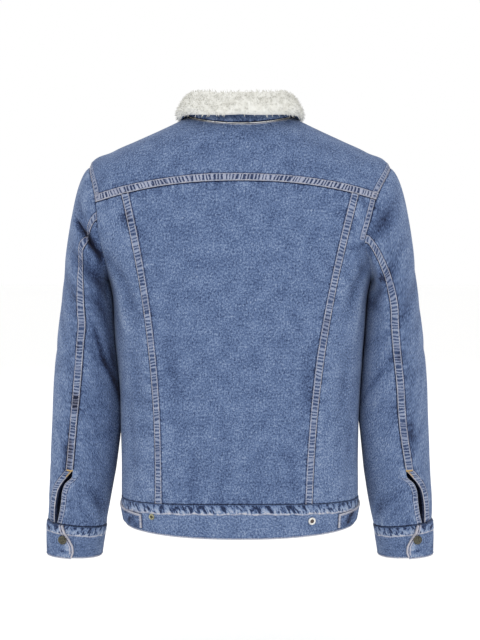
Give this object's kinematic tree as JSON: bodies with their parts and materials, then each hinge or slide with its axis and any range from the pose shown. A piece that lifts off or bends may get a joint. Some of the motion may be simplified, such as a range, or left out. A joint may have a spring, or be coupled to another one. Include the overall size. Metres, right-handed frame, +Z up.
{
  "type": "fleece collared denim jacket",
  "caption": "Long sleeved denim trucker jacket with a folded fleece collar, shaped back seams, waistband tabs and buttoned cuffs, held open in the form it has when worn.",
  "frame": {"origin": "middle of the neck opening, at the height of the neck seam at centre back", "axes": "+Z up along the wearer, -Y out of the front, +X towards the wearer's left"},
  "size_m": [0.6338, 0.2658, 0.7567],
  "materials": {
    "denim": "stone-washed mid-blue cotton twill",
    "sherpa": "cream curly fleece",
    "button_metal": "aged bronze-coloured metal"
  },
  "bodies": {
    "root": {"back_yoke": "denim", "back_centre": "denim", "back_side_left": "denim", "back_side_right": "denim", "front_left": "denim", "front_right": "denim", "front_band": "denim", "waistband": "denim", "waist_tab_left": "denim", "waist_tab_right": "denim", "waist_button_left": "button_metal", "waist_button_right": "button_metal", "sleeve_upper_left": "denim", "sleeve_upper_right": "denim", "sleeve_under_left": "denim", "sleeve_under_right": "denim", "cuff_left": "denim", "cuff_right": "denim", "cuff_button_left": "button_metal", "cuff_button_right": "button_metal", "collar_under": "denim", "collar_sherpa": "sherpa", "front_button_1": "button_metal", "front_button_2": "button_metal", "front_button_3": "button_metal", "front_button_4": "button_metal", "front_button_5": "button_metal", "front_button_6": "button_metal"}
  },
  "joints": []
}
